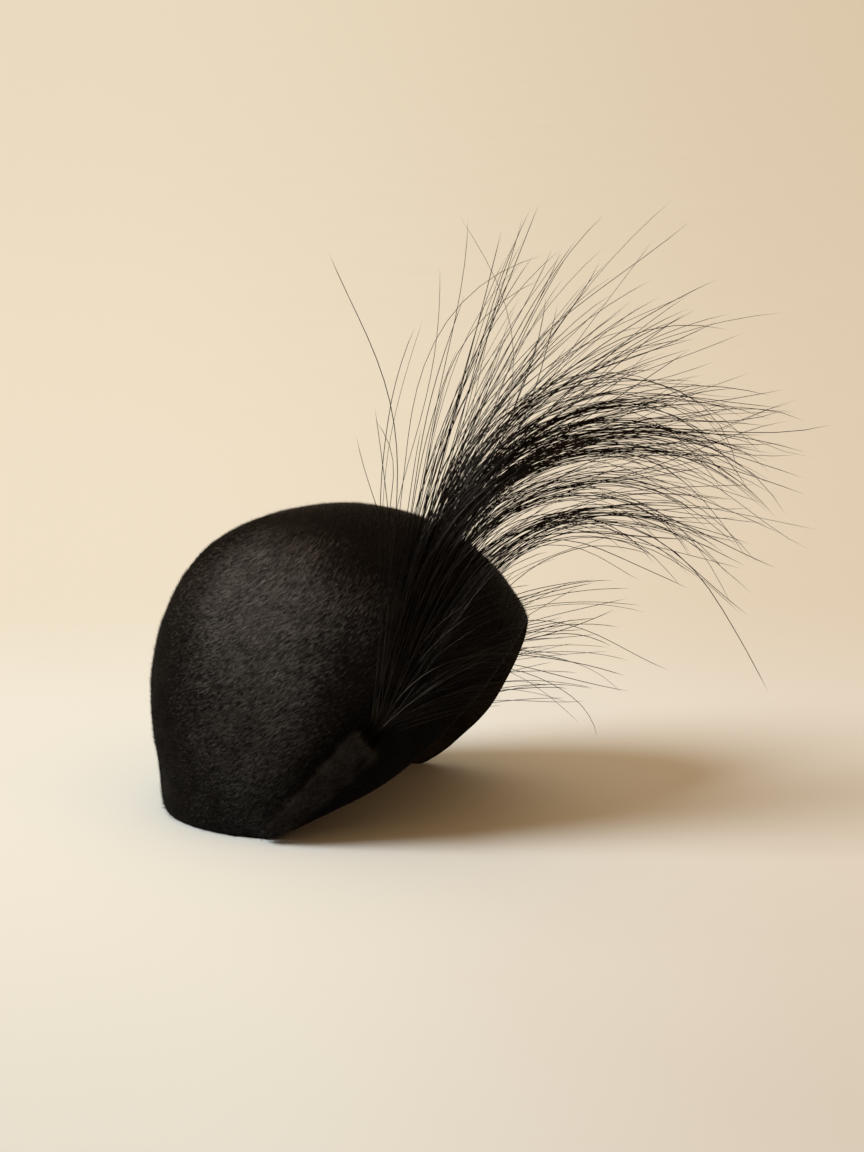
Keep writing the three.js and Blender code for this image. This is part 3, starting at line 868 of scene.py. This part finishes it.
class HAT_OT_plume(bpy.types.Operator):
    """Draws the plume hair by hair"""

    bl_idname = "hat.plume"
    bl_label = "Plume"

    def execute(self, context):
        settings = context.scene.hat_settings
        drawn = []
        for index, row in enumerate(LOCKS):
            drawn.append(self.lock_lines(dict(zip(LOCK_COLUMNS, row)), 100 + index))
        strays = dict(zip(STRAY_COLUMNS, np.array(STRAYS, dtype=float).T), tip_by=8.0)
        drawn.append(self.hair_lines(strays, self.roots(len(STRAYS), 80), 81))
        lines = self.within_reach(self.clear_of_crown(np.concatenate(drawn)))
        random = np.random.default_rng(90)
        share = np.linspace(0, 1, lines.shape[1])
        taper = np.interp(share, *HAIR_TAPER)
        radii = settings.hair_width / 2 * taper[None] * random.uniform(0.6, 1.2, (len(lines), 1))
        finish = hair_finish(
            "plume_hair", settings.plume_dark, settings.plume_light,
            roughness=0.14, gloss=0.12, blots_a_metre=45, root_shade_reach=0.022,
        )
        plume = tubes("plume_hairs", lines, radii, finish)
        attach(plume, "root")
        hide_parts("plume")
        return {"FINISHED"}

    def roots(self, count, seed, share=1.0):
        """Points spread over a share of the plume's root, down inside the sleeve."""
        random = np.random.default_rng(seed)
        around = random.uniform(0, 2 * math.pi, count)
        spread = ROOT_SPREAD * share * np.sqrt(random.random(count))
        across = np.array((MOUTH_WAY[2], 0, -MOUTH_WAY[0]))
        aside = np.array((0, 1, 0))
        middle = MOUTH - ROOT_INSIDE * MOUTH_WAY
        return (
            middle
            + (spread * np.cos(around))[:, None] * across
            + (spread * np.sin(around))[:, None] * aside
        )

    def hair_lines(self, shape, point, seed):
        """The lines of hairs of these shapes from these roots, an array of hairs by points by 3."""
        random = np.random.default_rng(seed)
        count = len(point)
        # The tips bend down a little more, and one in ten much more
        curl = 5 + shape["tip_by"] * random.normal(0, 1, count) + 30 * (random.random(count) < 0.1)
        # Each hair also wavers by a few degrees, up and down and to either side
        wander = random.normal(0, 2.6, (2, count))
        phase = random.uniform(0, 2 * math.pi, (2, count))
        length = shape["long"] * MM
        points = [point]
        step = (length + ROOT_INSIDE) / HAIR_STEPS
        bend_from, bend_to = shape["at"] - shape["over"], shape["at"] + shape["over"]
        for index in range(HAIR_STEPS):
            past = (index + 0.5) * step - ROOT_INSIDE
            share = past / length
            bent = shape["bend"] * smooth(share, bend_from, bend_to)
            bent = bent + curl * smooth(share, 0.7, 1.1)
            sway = wander[0] * np.sin(9 * share + phase[0]) * smooth(share, 0, 0.3)
            tilt = np.radians(shape["leave"] - bent + sway)
            stray = wander[1] * np.sin(6 * share + phase[1])
            aside = np.radians(shape["lean"] * smooth(past, 0, 0.12) + stray)
            free = np.stack(
                [np.cos(tilt) * np.cos(aside), np.sin(aside), np.sin(tilt) * np.cos(aside)], axis=1
            )
            held = smooth(past, -1 * MM, 18 * MM)[:, None]
            way = unit(MOUTH_WAY * (1 - held) + free * held)
            point = point + way * step[:, None]
            points.append(point)
        return np.stack(points, axis=1)

    def lock_lines(self, lock, seed):
        """The lines of one lock's hairs, gathered into wisps along their middle."""
        random = np.random.default_rng(seed)
        hairs = lock["hairs"]
        wisps = max(2, hairs // 4)
        spread = {
            "leave": lock["leave_by"], "bend": lock["bend_by"], "at": 0.03, "over": 0.02,
            "long": lock["long"] * 0.03, "lean": 4.0,
        }
        shape = {name: random.normal(lock[name], by, wisps) for name, by in spread.items()}
        shape["tip_by"] = np.full(wisps, 6.0)
        wisp_roots = self.roots(wisps, seed + 20, 1 - 0.8 * lock["tight"])
        middles = self.hair_lines(shape, wisp_roots, seed + 40)
        own = random.integers(0, wisps, hairs)
        # One hair in five keeps away from its wisp and bends as it likes
        rebel = random.random(hairs) < 0.2
        shape["tip_by"] = np.full(wisps, float(lock["tip_by"]))
        single = {name: values[own] for name, values in shape.items()}
        single["leave"] = single["leave"] + random.normal(0, 1.6, hairs) * (1 + rebel)
        single["bend"] = single["bend"] * random.normal(1, 0.13, hairs)
        single["bend"] = single["bend"] * np.where(rebel, random.uniform(0.3, 1.25, hairs), 1)
        single["lean"] = single["lean"] + random.normal(0, 2.5, hairs)
        lines = self.hair_lines(single, self.roots(hairs, seed + 60), seed + 80)
        share = np.linspace(0, 1, HAIR_STEPS + 1)
        gathered = smooth(share, 0.12, 0.5) * (1 - 0.9 * smooth(share, 0.66, 1.0))
        gathered = gathered[None, :, None] * (0.92 * lock["tight"] * ~rebel)[:, None, None]
        lines = lines * (1 - gathered) + middles[own] * gathered
        return self.cut_short(lines, random.beta(4.2, 1.2, hairs))

    def cut_short(self, lines, shares):
        """The same lines, each ended at its share of its length, but none at less than a least."""
        least = 0.45
        old = np.linspace(0, 1, lines.shape[1])
        for line, share in zip(lines, shares):
            new = old * max(share, least)
            line[:] = np.stack([np.interp(new, old, line[:, axis]) for axis in range(3)], axis=1)
        return lines

    def within_reach(self, lines):
        """The same lines, each cut short where it leaves the space that the plume may fill."""
        low, high = (np.array(corner) for corner in CAD_BOX)
        # A little less than single hairs may pass the box of the solids by
        room = (high - low) * 0.02 + 8 * MM
        for line in lines:
            out = ((line < low - room) | (line > high + room)).any(axis=1)
            if not out.any():
                continue
            self.cut_short(line[None], [(np.argmax(out) - 1) / (len(line) - 1)])
        return lines

    def clear_of_crown(self, lines):
        """The same lines, with the points that would be in the felt moved out of it."""
        crown = bpy.data.objects["crown_felt"]
        felt = BVHTree.FromObject(crown, bpy.context.evaluated_depsgraph_get())
        gap, searched = 0.8 * MM, 30 * MM
        # The first points of a hair are inside the sleeve and stay there
        held_points = 5
        for line in lines:
            for point in line[held_points:]:
                place, outward, _, _ = felt.find_nearest(Vector(point), searched)
                if place is None:
                    continue
                height = (Vector(point) - place).dot(outward)
                if height < gap:
                    point += np.array(outward) * (gap - height)
        return lines


class HAT_PT_panel(bpy.types.Panel):
    """Lists the steps that build the hat"""

    bl_label = "Felt cocktail hat"
    bl_idname = "HAT_PT_panel"
    bl_space_type = "VIEW_3D"
    bl_region_type = "UI"
    bl_category = "Hat"

    def draw(self, context):
        for step in STEPS:
            self.layout.operator(step.bl_idname)
        for settings in (context.scene.hat_settings, context.scene.stage_settings):
            for name in settings.bl_rna.properties.keys():
                if name not in ("rna_type", "name"):
                    self.layout.prop(settings, name)


STEPS = (HAT_OT_stage, HAT_OT_crown, HAT_OT_nap, HAT_OT_sleeve, HAT_OT_plume)
CLASSES = (HatSettings, StageSettings, *STEPS, HAT_PT_panel)


def register():
    """Adds the classes and the settings to Blender."""
    for listed in CLASSES:
        bpy.utils.register_class(listed)
    bpy.types.Scene.hat_settings = bpy.props.PointerProperty(type=HatSettings)
    bpy.types.Scene.stage_settings = bpy.props.PointerProperty(type=StageSettings)


def unregister():
    """Takes them out again."""
    del bpy.types.Scene.stage_settings
    del bpy.types.Scene.hat_settings
    for listed in reversed(CLASSES):
        bpy.utils.unregister_class(listed)


def main():
    """Builds the hat and its studio."""
    register()
    bpy.ops.hat.stage()
    bpy.ops.hat.crown()
    bpy.ops.hat.nap()
    bpy.ops.hat.sleeve()
    bpy.ops.hat.plume()


if __name__ == "__main__":
    main()
